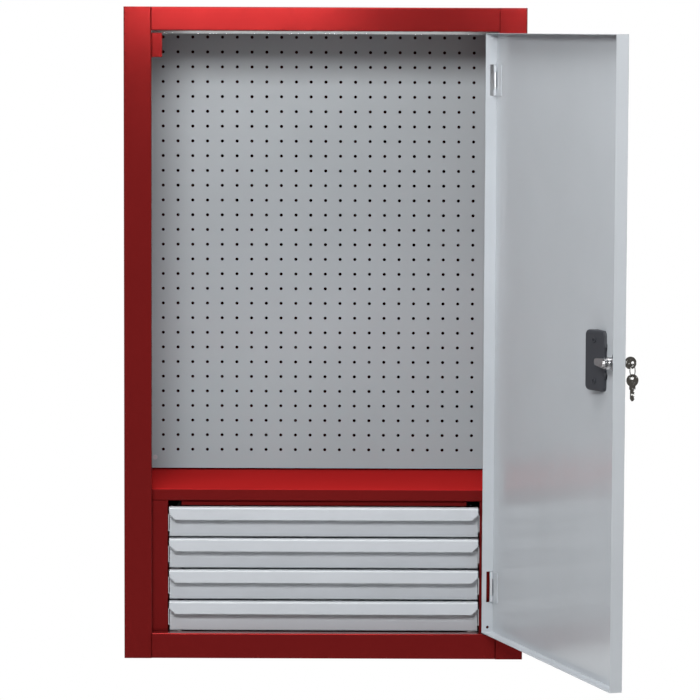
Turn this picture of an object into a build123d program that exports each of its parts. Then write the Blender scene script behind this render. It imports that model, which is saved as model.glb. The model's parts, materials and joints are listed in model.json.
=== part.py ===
from build123d import *
from math import sqrt
import os

# Wall tool cabinet: a steel box with a perforated panel, four drawers and one hinged door.
# Millimetres. +X to the viewer's right, +Y into the wall, +Z up.
# The origin is the middle of the back face, on the wall.

# Steel box
WIDTH = 650.0
HEIGHT = 1060.0
DEPTH = 320.0
SHEET = 1.2
BEND = 2.0
POST = 45.0
TOP_RAIL = 38.5
BOTTOM_RAIL = 41.5
RETURN_LIP = 20.0
WALL_BOLT = 9.0
WALL_BOLT_SPAN = 500.0
WALL_BOLT_INSET = 15.0

# Perforated panel: heights are measured from the underside of the box
PEG_FACE = 280.0
PEG_SHEET = 1.2
PEG_PITCH = 25.0
PEG_COLUMNS = 23
PEG_ROWS = 29
PEG_HOLE = 4.5
PEG_TOP_ROW = 1010.7
PEG_SIDE_MARGIN = 22.0
PEG_TOP_MARGIN = 12.0
PEG_FOOT_GAP = 3.0
PEG_RAIL_WIDTH = 16.0
PEG_RAIL_FOOT_GAP = 5.0
PEG_RAIL_HEAD_GAP = 10.0
PEG_HOOK_DROP = 7.5
PEG_HOOK_FLANGE = 14.0
PEG_HOOK_GAP = 0.3
SCREW_HEAD = 8.0
SCREW_HEAD_HEIGHT = 2.4
SCREW_SHANK = 4.0
SCREW_LENGTH = 9.0
SCREW_INSET = 18.0
SCREW_HOLE = 4.2

# Stop for the door's free edge
STOP_TOP = 1018.0
STOP_LENGTH = 39.0
STOP_REACH = 16.0
STOP_ARM = 14.0
STOP_DEPTH = 22.0
STOP_SHEET = 1.5

# Drawer housing
HOUSING = 25.0
LEDGE = 276.0
LEDGE_RAIL = 19.5
LEDGE_LIP = 8.0
DRAWER_OPENING = 509.0

# Drawers and their runners
DRAWERS = 4
DRAWER_TOP = 247.3
DRAWER_PITCH = 51.7
DRAWER_HEIGHT = 50.0
DRAWER_SIDE_GAP = 2.5
DRAWER_SHEET = 1.0
DRAWER_FOOT = 12.0
LIP_REACH = 17.0
LIP_DROP = 20.3
LIP_CHAMFER = 10.0
TRAY_LENGTH = 250.0
TRAY_RISE = 3.0
TRAY_HEIGHT = 38.0
RUNNER_SPACE = 10.0
RUNNER_HEIGHT = 27.0
RUNNER_LIP = 8.0
RUNNER_LENGTH = 270.0
RUNNER_SETBACK = 5.0
RUNNER_SHEET = 1.0
SLIDE_LENGTH = 245.0
SLIDE_GAP = 0.3

# Door, drawn open by this angle
DOOR_OPEN = 107.8
DOOR_GAP = 2.0
HINGE_GAP = 3.0
DOOR_SHEET = 1.0
DOOR_FLANGE = 20.0
DOOR_CORNER = 0.8
DRAIN_HOLE = 5.0
DRAIN_INSET = 9.0

# Concealed hinges
PIN_SETBACK = 4.4
PIN_INSET = 3.0
PIN = 3.0
PIN_FIT = 0.05
KNUCKLE = 6.0
LEAF = 1.2
LEAF_WIDTH = 20.0
HINGE_LENGTH = 50.0
HINGE_END = 75.5
OUTER_KNUCKLE = 11.7
KNUCKLE_GAP = 0.3
CRANK = 6.2
SLOT_CLEARANCE = 1.3

# Recessed pull
PULL_FROM_PIN = 455.5
PULL_HEIGHT = 531.5
PULL_WIDTH = 49.0
PULL_LENGTH = 91.0
PULL_DEPTH = 17.0
PULL_WALL = 2.0
PULL_RIM = 5.0
PULL_RIM_THICK = 2.5
PULL_CORNER = 8.0
PULL_BACK_ROUND = 3.5
PULL_FIT = 0.3
CLIP_LENGTH = 9.0
CLIP_REACH = 2.5
CLIP_DEPTH = 6.0
CLIP_SPAN = 44.0

# Cam lock
LOCK_FROM_PIN = 522.0
LOCK_HEIGHT = 533.0
BARREL = 17.5
BARREL_INSIDE = 20.8
LOCK_RIM = 23.0
LOCK_RIM_THICK = 3.0
LOCK_RIM_CHAMFER = 0.8
LOCK_FIT = 0.2
NUT_ACROSS = 26.0
NUT_THICK = 4.5
PLUG = 12.0
PLUG_FIT = 0.08
PLUG_SQUARE = 7.0
CAM = 2.5
CAM_WIDTH = 15.0
CAM_LENGTH = 37.0
CAM_TIP = 10.0
CAM_GAP = 0.3
CAM_SCREW_HEAD = 8.0
CAM_SCREW_HEIGHT = 2.6
CAM_SCREW_CHAMFER = 0.6

# Keys
KEY_THICK = 2.0
KEY_BLADE = 7.0
KEY_BLADE_LENGTH = 21.5
KEY_FIT = 0.15
KEY_BOW = 19.0
KEY_BOW_AHEAD = 17.0
KEY_HOLE = 5.0
KEY_HOLE_SHIFT = 3.5
RING_RADIUS = 10.4
RING_WIRE = 1.2
RING_WIDTH = 2.0
RING_REST = 0.1

FRONT = -DEPTH
BASE = -HEIGHT / 2
INSIDE = WIDTH / 2 - SHEET
JAMB = WIDTH / 2 - POST
BACK_FACE = -SHEET
ROOM_DEPTH = DEPTH - SHEET

os.makedirs("parts", exist_ok=True)


def save(piece, node):
    """Label a finished piece and write it under its own name."""
    piece.part.label = node
    export_step(piece.part, f"parts/{node}.step")


def level(height):
    """Horizontal plane at a height above the underside."""
    return Plane.XY.offset(BASE + height)


def upright(depth):
    """Plane facing the viewer at a depth behind the front, x to the right and y up."""
    return Plane.XZ.offset(-(FRONT + depth))


def side_view(depth, height):
    """Point of a section seen from the side, on the YZ plane."""
    return (FRONT + depth, BASE + height)


def inside_of(hand):
    """Side of a path on which the sheet lies, for a left (-1) or right (1) hand piece."""
    return Side.LEFT if hand < 0 else Side.RIGHT


def folded(plane, points, sheet, side, bend):
    """Section of a sheet folded along a path of its outer face."""
    with BuildSketch(plane) as section:
        with BuildLine():
            FilletPolyline(*points, radius=bend)
            offset(amount=sheet, side=side)
        make_face()
    return section.sketch


# Sides: wall, front post and the lip that returns behind the post
for name, hand in (("left", -1), ("right", 1)):
    outline = [
        (hand * WIDTH / 2, BACK_FACE),
        (hand * WIDTH / 2, FRONT),
        (hand * JAMB, FRONT),
        (hand * JAMB, FRONT + RETURN_LIP),
    ]
    with BuildPart() as side:
        extrude(folded(level(0), outline, SHEET, inside_of(hand), BEND), amount=HEIGHT)
        for end in (0, HEIGHT - SHEET):
            with BuildSketch(level(end)):
                with Locations((hand * (JAMB + SHEET / 2), FRONT + SHEET + RETURN_LIP / 2)):
                    Rectangle(SHEET, RETURN_LIP)
            extrude(amount=SHEET, mode=Mode.SUBTRACT)
    save(side, f"{name}_side")

# Top and bottom: a plate, a rail between the posts and the lip behind the rail
PLATES = (
    ("top_panel", HEIGHT, HEIGHT - TOP_RAIL, Side.RIGHT),
    ("bottom_panel", 0, BOTTOM_RAIL, Side.LEFT),
)
for name, plate, edge, inner in PLATES:
    outline = [
        side_view(RETURN_LIP, edge),
        side_view(0, edge),
        side_view(0, plate),
        side_view(ROOM_DEPTH, plate),
    ]
    with BuildPart() as panel:
        extrude(folded(Plane.YZ, outline, SHEET, inner, BEND), amount=INSIDE, both=True)
        rail_end = abs(plate - edge)
        under_plate = min(plate, edge) + (SHEET if plate < edge else 0)
        for hand in (-1, 1):
            with BuildSketch(level(under_plate)):
                with Locations((hand * (JAMB + WIDTH / 4), FRONT + RETURN_LIP / 2)):
                    Rectangle(WIDTH / 2, RETURN_LIP + 2 * SHEET)
            extrude(amount=rail_end - SHEET, mode=Mode.SUBTRACT)
            with BuildSketch(level(min(plate, edge))):
                with Locations((hand * (JAMB + WIDTH / 4), FRONT)):
                    Rectangle(WIDTH / 2, 2 * BEND)
            extrude(amount=rail_end, mode=Mode.SUBTRACT)
    save(panel, name)

# Back plate with its wall bolt holes
with BuildPart() as back_panel:
    with BuildSketch(Plane.XZ):
        Rectangle(WIDTH, HEIGHT)
        with GridLocations(WALL_BOLT_SPAN, HEIGHT - 2 * WALL_BOLT_INSET, 2, 2):
            Circle(WALL_BOLT / 2, mode=Mode.SUBTRACT)
    extrude(amount=SHEET)
save(back_panel, "back_panel")

# Perforated panel, screwed to two upright rails and hooked under a top rail
PEG_HALF = PEG_PITCH * (PEG_COLUMNS - 1) / 2 + PEG_SIDE_MARGIN
PEG_FOOT = LEDGE + PEG_FOOT_GAP
PEG_TOP = PEG_TOP_ROW + PEG_TOP_MARGIN
PEG_GRID_MIDDLE = PEG_TOP_ROW - PEG_PITCH * (PEG_ROWS - 1) / 2
SCREW_X = PEG_HALF - PEG_RAIL_WIDTH / 2
SCREW_PLACES = [
    (hand * SCREW_X, BASE + height)
    for hand in (-1, 1)
    for height in (PEG_FOOT + SCREW_INSET, PEG_TOP - SCREW_INSET)
]
with BuildPart() as pegboard_panel:
    with BuildSketch(upright(PEG_FACE)):
        with Locations((0, BASE + (PEG_FOOT + PEG_TOP) / 2)):
            Rectangle(2 * PEG_HALF, PEG_TOP - PEG_FOOT)
        with Locations(*SCREW_PLACES):
            Rectangle(SCREW_HOLE, SCREW_HOLE, mode=Mode.SUBTRACT)
        with Locations((0, BASE + PEG_GRID_MIDDLE)):
            with GridLocations(PEG_PITCH, PEG_PITCH, PEG_COLUMNS, PEG_ROWS):
                Rectangle(PEG_HOLE, PEG_HOLE, mode=Mode.SUBTRACT)
    extrude(amount=-PEG_SHEET)
save(pegboard_panel, "pegboard_panel")

PEG_BACK = PEG_FACE + PEG_SHEET
for name, hand in (("left", -1), ("right", 1)):
    near = hand * (PEG_HALF - PEG_RAIL_WIDTH)
    far = hand * PEG_HALF
    outline = [
        (near, BACK_FACE),
        (near, FRONT + PEG_BACK),
        (far, FRONT + PEG_BACK),
        (far, BACK_FACE),
    ]
    foot = PEG_FOOT + PEG_RAIL_FOOT_GAP
    with BuildPart() as rail:
        section = folded(level(foot), outline, SHEET, inside_of(-hand), BEND)
        extrude(section, amount=PEG_TOP - PEG_RAIL_HEAD_GAP - foot)
        with BuildSketch(upright(PEG_BACK)):
            with Locations(*[place for place in SCREW_PLACES if place[0] * hand > 0]):
                Rectangle(SCREW_HOLE, SCREW_HOLE)
        extrude(amount=-SHEET, mode=Mode.SUBTRACT)
    save(rail, f"{name}_pegboard_rail")

with BuildPart() as pegboard_screws:
    with BuildSketch(upright(PEG_FACE)):
        with Locations(*SCREW_PLACES):
            Circle(SCREW_HEAD / 2)
    extrude(amount=SCREW_HEAD_HEIGHT)
    with BuildSketch(upright(PEG_FACE)):
        with Locations(*SCREW_PLACES):
            Circle(SCREW_SHANK / 2)
    extrude(amount=-SCREW_LENGTH)
save(pegboard_screws, "pegboard_screws")

HOOK_WEB = PEG_TOP + PEG_HOOK_GAP + SHEET
HOOK_FACE = PEG_FACE - PEG_HOOK_GAP - SHEET
with BuildPart() as pegboard_top_rail:
    outline = [
        side_view(HOOK_FACE, HOOK_WEB - PEG_HOOK_DROP),
        side_view(HOOK_FACE, HOOK_WEB),
        side_view(ROOM_DEPTH - SHEET, HOOK_WEB),
        side_view(ROOM_DEPTH - SHEET, HOOK_WEB + PEG_HOOK_FLANGE),
    ]
    extrude(folded(Plane.YZ, outline, SHEET, Side.RIGHT, BEND), amount=PEG_HALF, both=True)
save(pegboard_top_rail, "pegboard_top_rail")

# Stop for the door's free edge, welded behind the left lip
with BuildPart() as door_stop:
    weld_face = -JAMB - SHEET
    outline = [
        (weld_face, FRONT + STOP_DEPTH - STOP_ARM),
        (weld_face, FRONT + STOP_DEPTH),
        (-JAMB + STOP_REACH, FRONT + STOP_DEPTH),
    ]
    with BuildSketch(level(STOP_TOP - STOP_LENGTH)):
        with BuildLine():
            Polyline(*outline)
            offset(amount=STOP_SHEET, side=Side.LEFT, kind=Kind.INTERSECTION)
        make_face()
    extrude(amount=STOP_LENGTH)
save(door_stop, "door_stop")

# Ledge over the drawers
with BuildPart() as shelf_ledge:
    outline = [
        side_view(HOUSING + LEDGE_LIP, LEDGE - LEDGE_RAIL),
        side_view(HOUSING, LEDGE - LEDGE_RAIL),
        side_view(HOUSING, LEDGE),
        side_view(ROOM_DEPTH, LEDGE),
    ]
    extrude(folded(Plane.YZ, outline, SHEET, Side.RIGHT, BEND), amount=INSIDE, both=True)
save(shelf_ledge, "shelf_ledge")

# Housing sides: a stile beside the drawers, folded back into a wall that carries the runners
OPENING_HALF = DRAWER_OPENING / 2
for name, hand in (("left", -1), ("right", 1)):
    outline = [
        (hand * INSIDE, FRONT + HOUSING),
        (hand * OPENING_HALF, FRONT + HOUSING),
        (hand * OPENING_HALF, BACK_FACE),
    ]
    wall_front = FRONT + HOUSING + LEDGE_LIP
    with BuildPart() as housing_side:
        section = folded(level(SHEET), outline, SHEET, inside_of(hand), BEND)
        extrude(section, amount=LEDGE - LEDGE_RAIL - SHEET)
        with BuildSketch(level(LEDGE - LEDGE_RAIL)):
            with Locations((hand * (OPENING_HALF + SHEET / 2), (wall_front + BACK_FACE) / 2)):
                Rectangle(SHEET, BACK_FACE - wall_front)
        extrude(amount=LEDGE_RAIL - SHEET)
    save(housing_side, f"{name}_housing_side")


def drawer_foot(number):
    """Height of a drawer front's lower edge, counting drawers from the top."""
    return DRAWER_TOP - DRAWER_HEIGHT - DRAWER_PITCH * (number - 1)


def channel(hand, wall, lip, middle, height, side):
    """Upright section of a runner channel: its web is at wall and its lips end at lip."""
    top = BASE + middle + height / 2
    foot = BASE + middle - height / 2
    corners = [(hand * lip, top), (hand * wall, top), (hand * wall, foot), (hand * lip, foot)]
    with BuildSketch(upright(HOUSING + RUNNER_SETBACK)) as section:
        with BuildLine():
            Polyline(*corners)
            offset(amount=RUNNER_SHEET, side=side, kind=Kind.INTERSECTION)
        make_face()
    return section.sketch


RUNNER_MIDDLE = TRAY_RISE + TRAY_HEIGHT / 2
TRAY_HALF = OPENING_HALF - RUNNER_SPACE
SLIDE_HEIGHT = RUNNER_HEIGHT - 2 * (RUNNER_SHEET + SLIDE_GAP)
SLIDE_EDGE = TRAY_HALF + RUNNER_LIP

# Fixed runner channels, four to a side
for name, hand in (("left", -1), ("right", 1)):
    with BuildPart() as runners:
        for number in range(1, DRAWERS + 1):
            middle = drawer_foot(number) + RUNNER_MIDDLE
            edge = OPENING_HALF - RUNNER_LIP
            section = channel(hand, OPENING_HALF, edge, middle, RUNNER_HEIGHT, inside_of(hand))
            extrude(section, amount=-RUNNER_LENGTH)
    save(runners, f"{name}_runner_channels")

# Drawers: a folded front with its pull lip, a tray, and the pair of sliding channels
FRONT_HALF = OPENING_HALF - DRAWER_SIDE_GAP
for number in range(1, DRAWERS + 1):
    foot = drawer_foot(number)
    top = foot + DRAWER_HEIGHT
    outline = [
        side_view(HOUSING + DRAWER_FOOT, foot),
        side_view(HOUSING, foot),
        side_view(HOUSING, top - DRAWER_SHEET),
        side_view(HOUSING - LIP_REACH + DRAWER_SHEET, top - DRAWER_SHEET),
        side_view(HOUSING - LIP_REACH + DRAWER_SHEET, top - LIP_DROP),
    ]
    with BuildPart() as drawer_front:
        section = folded(Plane.YZ, outline, DRAWER_SHEET, Side.RIGHT, BEND)
        extrude(section, amount=FRONT_HALF, both=True)
        with BuildSketch(upright(HOUSING - LIP_REACH)):
            for hand in (-1, 1):
                with BuildLine():
                    Polyline(
                        (hand * FRONT_HALF, BASE + top - LIP_DROP),
                        (hand * (FRONT_HALF - LIP_CHAMFER), BASE + top - LIP_DROP),
                        (hand * FRONT_HALF, BASE + top - LIP_DROP + LIP_CHAMFER),
                        close=True,
                    )
                make_face()
        extrude(amount=-DRAWER_SHEET, mode=Mode.SUBTRACT)
    save(drawer_front, f"drawer_{number}_front")

    tray_front = FRONT + HOUSING + DRAWER_SHEET
    tray_middle = tray_front + TRAY_LENGTH / 2
    with BuildPart() as tray:
        with BuildSketch(level(foot + TRAY_RISE)):
            with Locations((0, tray_middle)):
                Rectangle(2 * TRAY_HALF, TRAY_LENGTH)
        extrude(amount=TRAY_HEIGHT)
        with BuildSketch(level(foot + TRAY_RISE + DRAWER_SHEET)):
            with Locations((0, tray_middle)):
                Rectangle(2 * (TRAY_HALF - DRAWER_SHEET), TRAY_LENGTH - 2 * DRAWER_SHEET)
        extrude(amount=TRAY_HEIGHT, mode=Mode.SUBTRACT)
    save(tray, f"drawer_{number}_tray")

    with BuildPart() as slides:
        for hand in (-1, 1):
            middle = foot + RUNNER_MIDDLE
            section = channel(hand, TRAY_HALF, SLIDE_EDGE, middle, SLIDE_HEIGHT, inside_of(-hand))
            extrude(section, amount=-SLIDE_LENGTH)
    save(slides, f"drawer_{number}_slides")

# The hinge pin is the centre of the door's frame, whose x and y are those of the shut door
PIN_X = JAMB - HINGE_GAP - PIN_INSET
PIN_Y = FRONT + PIN_SETBACK
HINGE_LINE = Plane(origin=(PIN_X, PIN_Y, 0))
DOOR = HINGE_LINE.rotated((0, 0, DOOR_OPEN))
DOOR_WIDTH = 2 * JAMB - DOOR_GAP - HINGE_GAP
DOOR_HEIGHT = HEIGHT - TOP_RAIL - BOTTOM_RAIL - 2 * DOOR_GAP
DOOR_MIDDLE_X = PIN_INSET - DOOR_WIDTH / 2
DOOR_MIDDLE_Z = BASE + BOTTOM_RAIL + DOOR_GAP + DOOR_HEIGHT / 2
SKIN_BACK = DOOR_SHEET - PIN_SETBACK


def door_face(inward):
    """Plane along the door, facing outwards, at a distance behind the skin's outer face."""
    origin = DOOR.from_local_coords(Vector(0, inward - PIN_SETBACK, 0))
    return Plane(origin=origin, x_dir=DOOR.x_dir, z_dir=-DOOR.y_dir)


def door_level(height):
    """Horizontal plane on the hinge pin that turns with the door."""
    return DOOR.offset(BASE + height)


HINGES = (
    ("upper", HEIGHT - TOP_RAIL - DOOR_GAP - HINGE_END),
    ("lower", BOTTOM_RAIL + DOOR_GAP + HINGE_END),
)
PULL_PLACE = (-PULL_FROM_PIN, BASE + PULL_HEIGHT)
LOCK_PLACE = (-LOCK_FROM_PIN, BASE + LOCK_HEIGHT)

# Door skin with the openings for the pull and the lock
with BuildPart() as door_skin:
    with BuildSketch(door_face(0)):
        with Locations((DOOR_MIDDLE_X, DOOR_MIDDLE_Z)):
            Rectangle(DOOR_WIDTH, DOOR_HEIGHT)
    extrude(amount=-DOOR_SHEET)
    front_edges = door_skin.faces().sort_by(Axis(door_face(0).origin, door_face(0).z_dir))[-1]
    fillet(front_edges.edges(), DOOR_CORNER)
    with BuildSketch(door_face(0)):
        with Locations(PULL_PLACE):
            RectangleRounded(PULL_WIDTH + 2 * PULL_FIT, PULL_LENGTH + 2 * PULL_FIT, PULL_CORNER)
        with Locations(LOCK_PLACE):
            Circle(BARREL / 2 + LOCK_FIT)
    extrude(amount=-DOOR_SHEET, mode=Mode.SUBTRACT)
save(door_skin, "door_skin")

# Door edge: the flange round the skin, slotted for the hinges
SLOT_DEPTH = PIN_SETBACK + CRANK + LEAF / 2 + SLOT_CLEARANCE - DOOR_SHEET
with BuildPart() as door_edge_frame:
    with BuildSketch(door_face(DOOR_SHEET)):
        with Locations((DOOR_MIDDLE_X, DOOR_MIDDLE_Z)):
            Rectangle(DOOR_WIDTH, DOOR_HEIGHT)
            Rectangle(DOOR_WIDTH - 2 * DOOR_SHEET, DOOR_HEIGHT - 2 * DOOR_SHEET, mode=Mode.SUBTRACT)
    extrude(amount=DOOR_SHEET - DOOR_FLANGE)
    with BuildSketch(door_face(DOOR_SHEET)):
        for name, height in HINGES:
            with Locations((PIN_INSET - DOOR_SHEET / 2, BASE + height)):
                Rectangle(2 * DOOR_SHEET, HINGE_LENGTH + 2 * KNUCKLE_GAP)
    extrude(amount=-SLOT_DEPTH, mode=Mode.SUBTRACT)
    drain_height = DOOR_MIDDLE_Z - DOOR_HEIGHT / 2 + DRAIN_INSET
    drain = DOOR.from_local_coords(Vector(PIN_INSET, DOOR_FLANGE / 2 - PIN_SETBACK, drain_height))
    with BuildSketch(Plane(origin=drain, z_dir=DOOR.x_dir)):
        Circle(DRAIN_HOLE / 2)
    extrude(amount=-2 * DOOR_SHEET, mode=Mode.SUBTRACT)
save(door_edge_frame, "door_edge_frame")

# Hinges: a door leaf with two knuckles, a cranked leaf with the middle knuckle, and a pin
JAMB_REACH = JAMB - PIN_X
MIDDLE_KNUCKLE = HINGE_LENGTH - 2 * OUTER_KNUCKLE - 2 * KNUCKLE_GAP
for name, height in HINGES:
    foot = height - HINGE_LENGTH / 2
    outer_starts = (foot, height + HINGE_LENGTH / 2 - OUTER_KNUCKLE)
    leaf_y = SKIN_BACK + LEAF / 2
    with BuildPart() as door_leaf:
        for start in outer_starts:
            with BuildSketch(door_level(start)):
                Circle(KNUCKLE / 2)
                with Locations((-LEAF_WIDTH / 2, leaf_y)):
                    Rectangle(LEAF_WIDTH, LEAF)
                Circle(PIN / 2 + PIN_FIT, mode=Mode.SUBTRACT)
            extrude(amount=OUTER_KNUCKLE)
        clear = KNUCKLE / 2 + 2 * KNUCKLE_GAP
        with BuildSketch(door_level(foot)):
            with Locations((-(LEAF_WIDTH + clear) / 2, leaf_y)):
                Rectangle(LEAF_WIDTH - clear, LEAF)
        extrude(amount=HINGE_LENGTH)
    save(door_leaf, f"{name}_hinge_door_leaf")

    with BuildPart() as frame_leaf:
        with BuildSketch(HINGE_LINE.offset(BASE + foot + OUTER_KNUCKLE + KNUCKLE_GAP)):
            Circle(KNUCKLE / 2)
            with Locations((0, CRANK / 2)):
                Rectangle(LEAF, CRANK)
            Circle(PIN / 2 + PIN_FIT, mode=Mode.SUBTRACT)
        extrude(amount=MIDDLE_KNUCKLE)
        with BuildSketch(HINGE_LINE.offset(BASE + foot)):
            with Locations(((JAMB_REACH - LEAF / 2) / 2, CRANK)):
                Rectangle(JAMB_REACH + LEAF / 2, LEAF)
            jamb_leg = RETURN_LIP - PIN_SETBACK - CRANK + LEAF / 2
            with Locations((JAMB_REACH - LEAF / 2, CRANK - LEAF / 2 + jamb_leg / 2)):
                Rectangle(LEAF, jamb_leg)
        extrude(amount=HINGE_LENGTH)
    save(frame_leaf, f"{name}_hinge_frame_leaf")

    with BuildPart() as hinge_pin:
        with BuildSketch(HINGE_LINE.offset(BASE + foot)):
            Circle(PIN / 2)
        extrude(amount=HINGE_LENGTH)
    save(hinge_pin, f"{name}_hinge_pin")

# Recessed pull: a moulded cup that snaps into the skin from outside
with BuildPart() as handle_cup:
    with BuildSketch(door_face(0)):
        with Locations(PULL_PLACE):
            rim_width = PULL_WIDTH + 2 * PULL_RIM
            rim_length = PULL_LENGTH + 2 * PULL_RIM
            RectangleRounded(rim_width, rim_length, PULL_CORNER + PULL_RIM)
    extrude(amount=PULL_RIM_THICK)
    with BuildSketch(door_face(0)):
        with Locations(PULL_PLACE):
            RectangleRounded(PULL_WIDTH, PULL_LENGTH, PULL_CORNER)
    extrude(amount=-PULL_DEPTH)
    cup_back = handle_cup.faces().sort_by(Axis(door_face(0).origin, door_face(0).z_dir))[0]
    fillet(cup_back.edges(), PULL_BACK_ROUND)
    with BuildSketch(door_face(-PULL_RIM_THICK)):
        with Locations(PULL_PLACE):
            inner_width = PULL_WIDTH - 2 * PULL_WALL
            inner_length = PULL_LENGTH - 2 * PULL_WALL
            RectangleRounded(inner_width, inner_length, PULL_CORNER - PULL_WALL)
    extrude(amount=PULL_WALL - PULL_DEPTH - PULL_RIM_THICK, mode=Mode.SUBTRACT)
    with BuildSketch(door_face(DOOR_SHEET + PULL_FIT)):
        with Locations((-PULL_FROM_PIN - PULL_WIDTH / 2, BASE + PULL_HEIGHT)):
            with GridLocations(CLIP_SPAN, CLIP_SPAN, 1, 2):
                Rectangle(2 * CLIP_REACH, CLIP_LENGTH)
    extrude(amount=-CLIP_DEPTH)
save(handle_cup, "handle_cup")


def lock_circle(inward, diameter):
    """Sketch of a circle on the lock's axis at a distance behind the skin's outer face."""
    with BuildSketch(door_face(inward)) as section:
        with Locations(LOCK_PLACE):
            Circle(diameter / 2)
    return section.sketch


def lock_side():
    """Upright plane through the lock's axis, x out of the door and y up."""
    origin = DOOR.from_local_coords(Vector(LOCK_PLACE[0], -PIN_SETBACK, LOCK_PLACE[1]))
    return Plane(origin=origin, x_dir=-DOOR.y_dir, z_dir=-DOOR.x_dir)


LOCK_SIDE = lock_side()
LOCK_AXIS = Axis(LOCK_SIDE.origin, LOCK_SIDE.x_dir)

# Cam lock: barrel and rim, fixing nut, turning plug, cam and its screw
PLUG_BORE = PLUG + 2 * PLUG_FIT
with BuildPart() as lock_body:
    with BuildSketch(LOCK_SIDE):
        with BuildLine():
            Polyline(
                (-BARREL_INSIDE, PLUG_BORE / 2),
                (-BARREL_INSIDE, BARREL / 2),
                (0, BARREL / 2),
                (0, LOCK_RIM / 2),
                (LOCK_RIM_THICK - LOCK_RIM_CHAMFER, LOCK_RIM / 2),
                (LOCK_RIM_THICK, LOCK_RIM / 2 - LOCK_RIM_CHAMFER),
                (LOCK_RIM_THICK, PLUG_BORE / 2),
                close=True,
            )
        make_face()
    revolve(axis=LOCK_AXIS)
save(lock_body, "lock_body")

with BuildPart() as lock_nut:
    with BuildSketch(door_face(DOOR_SHEET)):
        with Locations(LOCK_PLACE):
            RegularPolygon(NUT_ACROSS / 2, 6, major_radius=False)
            Circle(BARREL / 2 + PIN_FIT, mode=Mode.SUBTRACT)
    extrude(amount=-NUT_THICK)
save(lock_nut, "lock_nut")

CAM_START = BARREL_INSIDE + CAM_GAP
CAM_END = CAM_START + CAM
with BuildPart() as lock_plug:
    extrude(lock_circle(-LOCK_RIM_THICK, PLUG), amount=-LOCK_RIM_THICK - CAM_START)
    with BuildSketch(door_face(CAM_START)):
        with Locations(LOCK_PLACE):
            Rectangle(PLUG_SQUARE, PLUG_SQUARE)
    extrude(amount=-CAM)
    with BuildSketch(door_face(-LOCK_RIM_THICK)):
        with Locations(LOCK_PLACE):
            Rectangle(KEY_THICK + 2 * KEY_FIT, KEY_BLADE + 2 * KEY_FIT)
    extrude(amount=-KEY_BLADE_LENGTH - KEY_FIT, mode=Mode.SUBTRACT)
save(lock_plug, "lock_plug")

with BuildPart() as lock_cam:
    with BuildSketch(door_face(CAM_START)):
        with Locations(LOCK_PLACE):
            Circle(CAM_WIDTH / 2)
        with Locations((LOCK_PLACE[0] + CAM_LENGTH - CAM_TIP / 2, LOCK_PLACE[1])):
            Circle(CAM_TIP / 2)
        make_hull()
        with Locations(LOCK_PLACE):
            Rectangle(PLUG_SQUARE + 2 * PIN_FIT, PLUG_SQUARE + 2 * PIN_FIT, mode=Mode.SUBTRACT)
    extrude(amount=-CAM)
save(lock_cam, "lock_cam")

SCREW_END = CAM_END + CAM_SCREW_HEIGHT
with BuildPart() as cam_screw:
    with BuildSketch(LOCK_SIDE):
        with BuildLine():
            Polyline(
                (-CAM_END, 0),
                (-CAM_END, CAM_SCREW_HEAD / 2),
                (CAM_SCREW_CHAMFER - SCREW_END, CAM_SCREW_HEAD / 2),
                (-SCREW_END, CAM_SCREW_HEAD / 2 - CAM_SCREW_CHAMFER),
                (-SCREW_END, 0),
                close=True,
            )
        make_face()
    revolve(axis=LOCK_AXIS)
save(cam_screw, "cam_screw")

# Key in the lock: the blade fills the keyway and the bow stands out of the door
BOW_X = LOCK_RIM_THICK + KEY_BOW_AHEAD
HOLE_X = BOW_X + KEY_HOLE_SHIFT
with BuildPart() as door_key:
    with BuildSketch(LOCK_SIDE):
        with Locations(((LOCK_RIM_THICK - KEY_BLADE_LENGTH + BOW_X) / 2, 0)):
            Rectangle(BOW_X - LOCK_RIM_THICK + KEY_BLADE_LENGTH, KEY_BLADE)
        with Locations((BOW_X, 0)):
            Circle(KEY_BOW / 2)
        with Locations((HOLE_X, 0)):
            Circle(KEY_HOLE / 2, mode=Mode.SUBTRACT)
    extrude(amount=KEY_THICK / 2, both=True)
save(door_key, "door_key")

# Split ring hanging from the key's hole, and the spare key hanging from the ring
RING_INNER = RING_RADIUS - RING_WIRE
RING_SEAT = sqrt((KEY_HOLE / 2) ** 2 - (RING_WIDTH / 2) ** 2) - RING_REST
RING_Z = -RING_SEAT - RING_INNER
SPARE_HOLE_Z = RING_Z - RING_INNER - RING_SEAT
RING_CENTRE = LOCK_SIDE.from_local_coords(Vector(HOLE_X, RING_Z, 0))
RING_PLANE = Plane(origin=RING_CENTRE, z_dir=LOCK_SIDE.x_dir)
with BuildPart() as key_ring:
    with BuildSketch(RING_PLANE):
        Circle(RING_RADIUS)
        Circle(RING_INNER, mode=Mode.SUBTRACT)
    extrude(amount=RING_WIDTH / 2, both=True)
save(key_ring, "key_ring")

SPARE_BOW_Z = SPARE_HOLE_Z - KEY_HOLE_SHIFT
SPARE_TIP_Z = SPARE_BOW_Z - KEY_BOW / 2 - KEY_BLADE_LENGTH
with BuildPart() as spare_key:
    with BuildSketch(LOCK_SIDE):
        with Locations((HOLE_X, (SPARE_BOW_Z + SPARE_TIP_Z) / 2)):
            Rectangle(KEY_BLADE, SPARE_BOW_Z - SPARE_TIP_Z)
        with Locations((HOLE_X, SPARE_BOW_Z)):
            Circle(KEY_BOW / 2)
        with Locations((HOLE_X, SPARE_HOLE_Z)):
            Circle(KEY_HOLE / 2, mode=Mode.SUBTRACT)
    extrude(amount=KEY_THICK / 2, both=True)
save(spare_key, "spare_key")
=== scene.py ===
"""Looks of a wall tool cabinet: painted steel box, perforated panel, drawers, door, cam lock and keys.

All sizes are metres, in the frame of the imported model: +X to the right, +Y into the wall, +Z up.
"""
from __future__ import annotations

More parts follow.
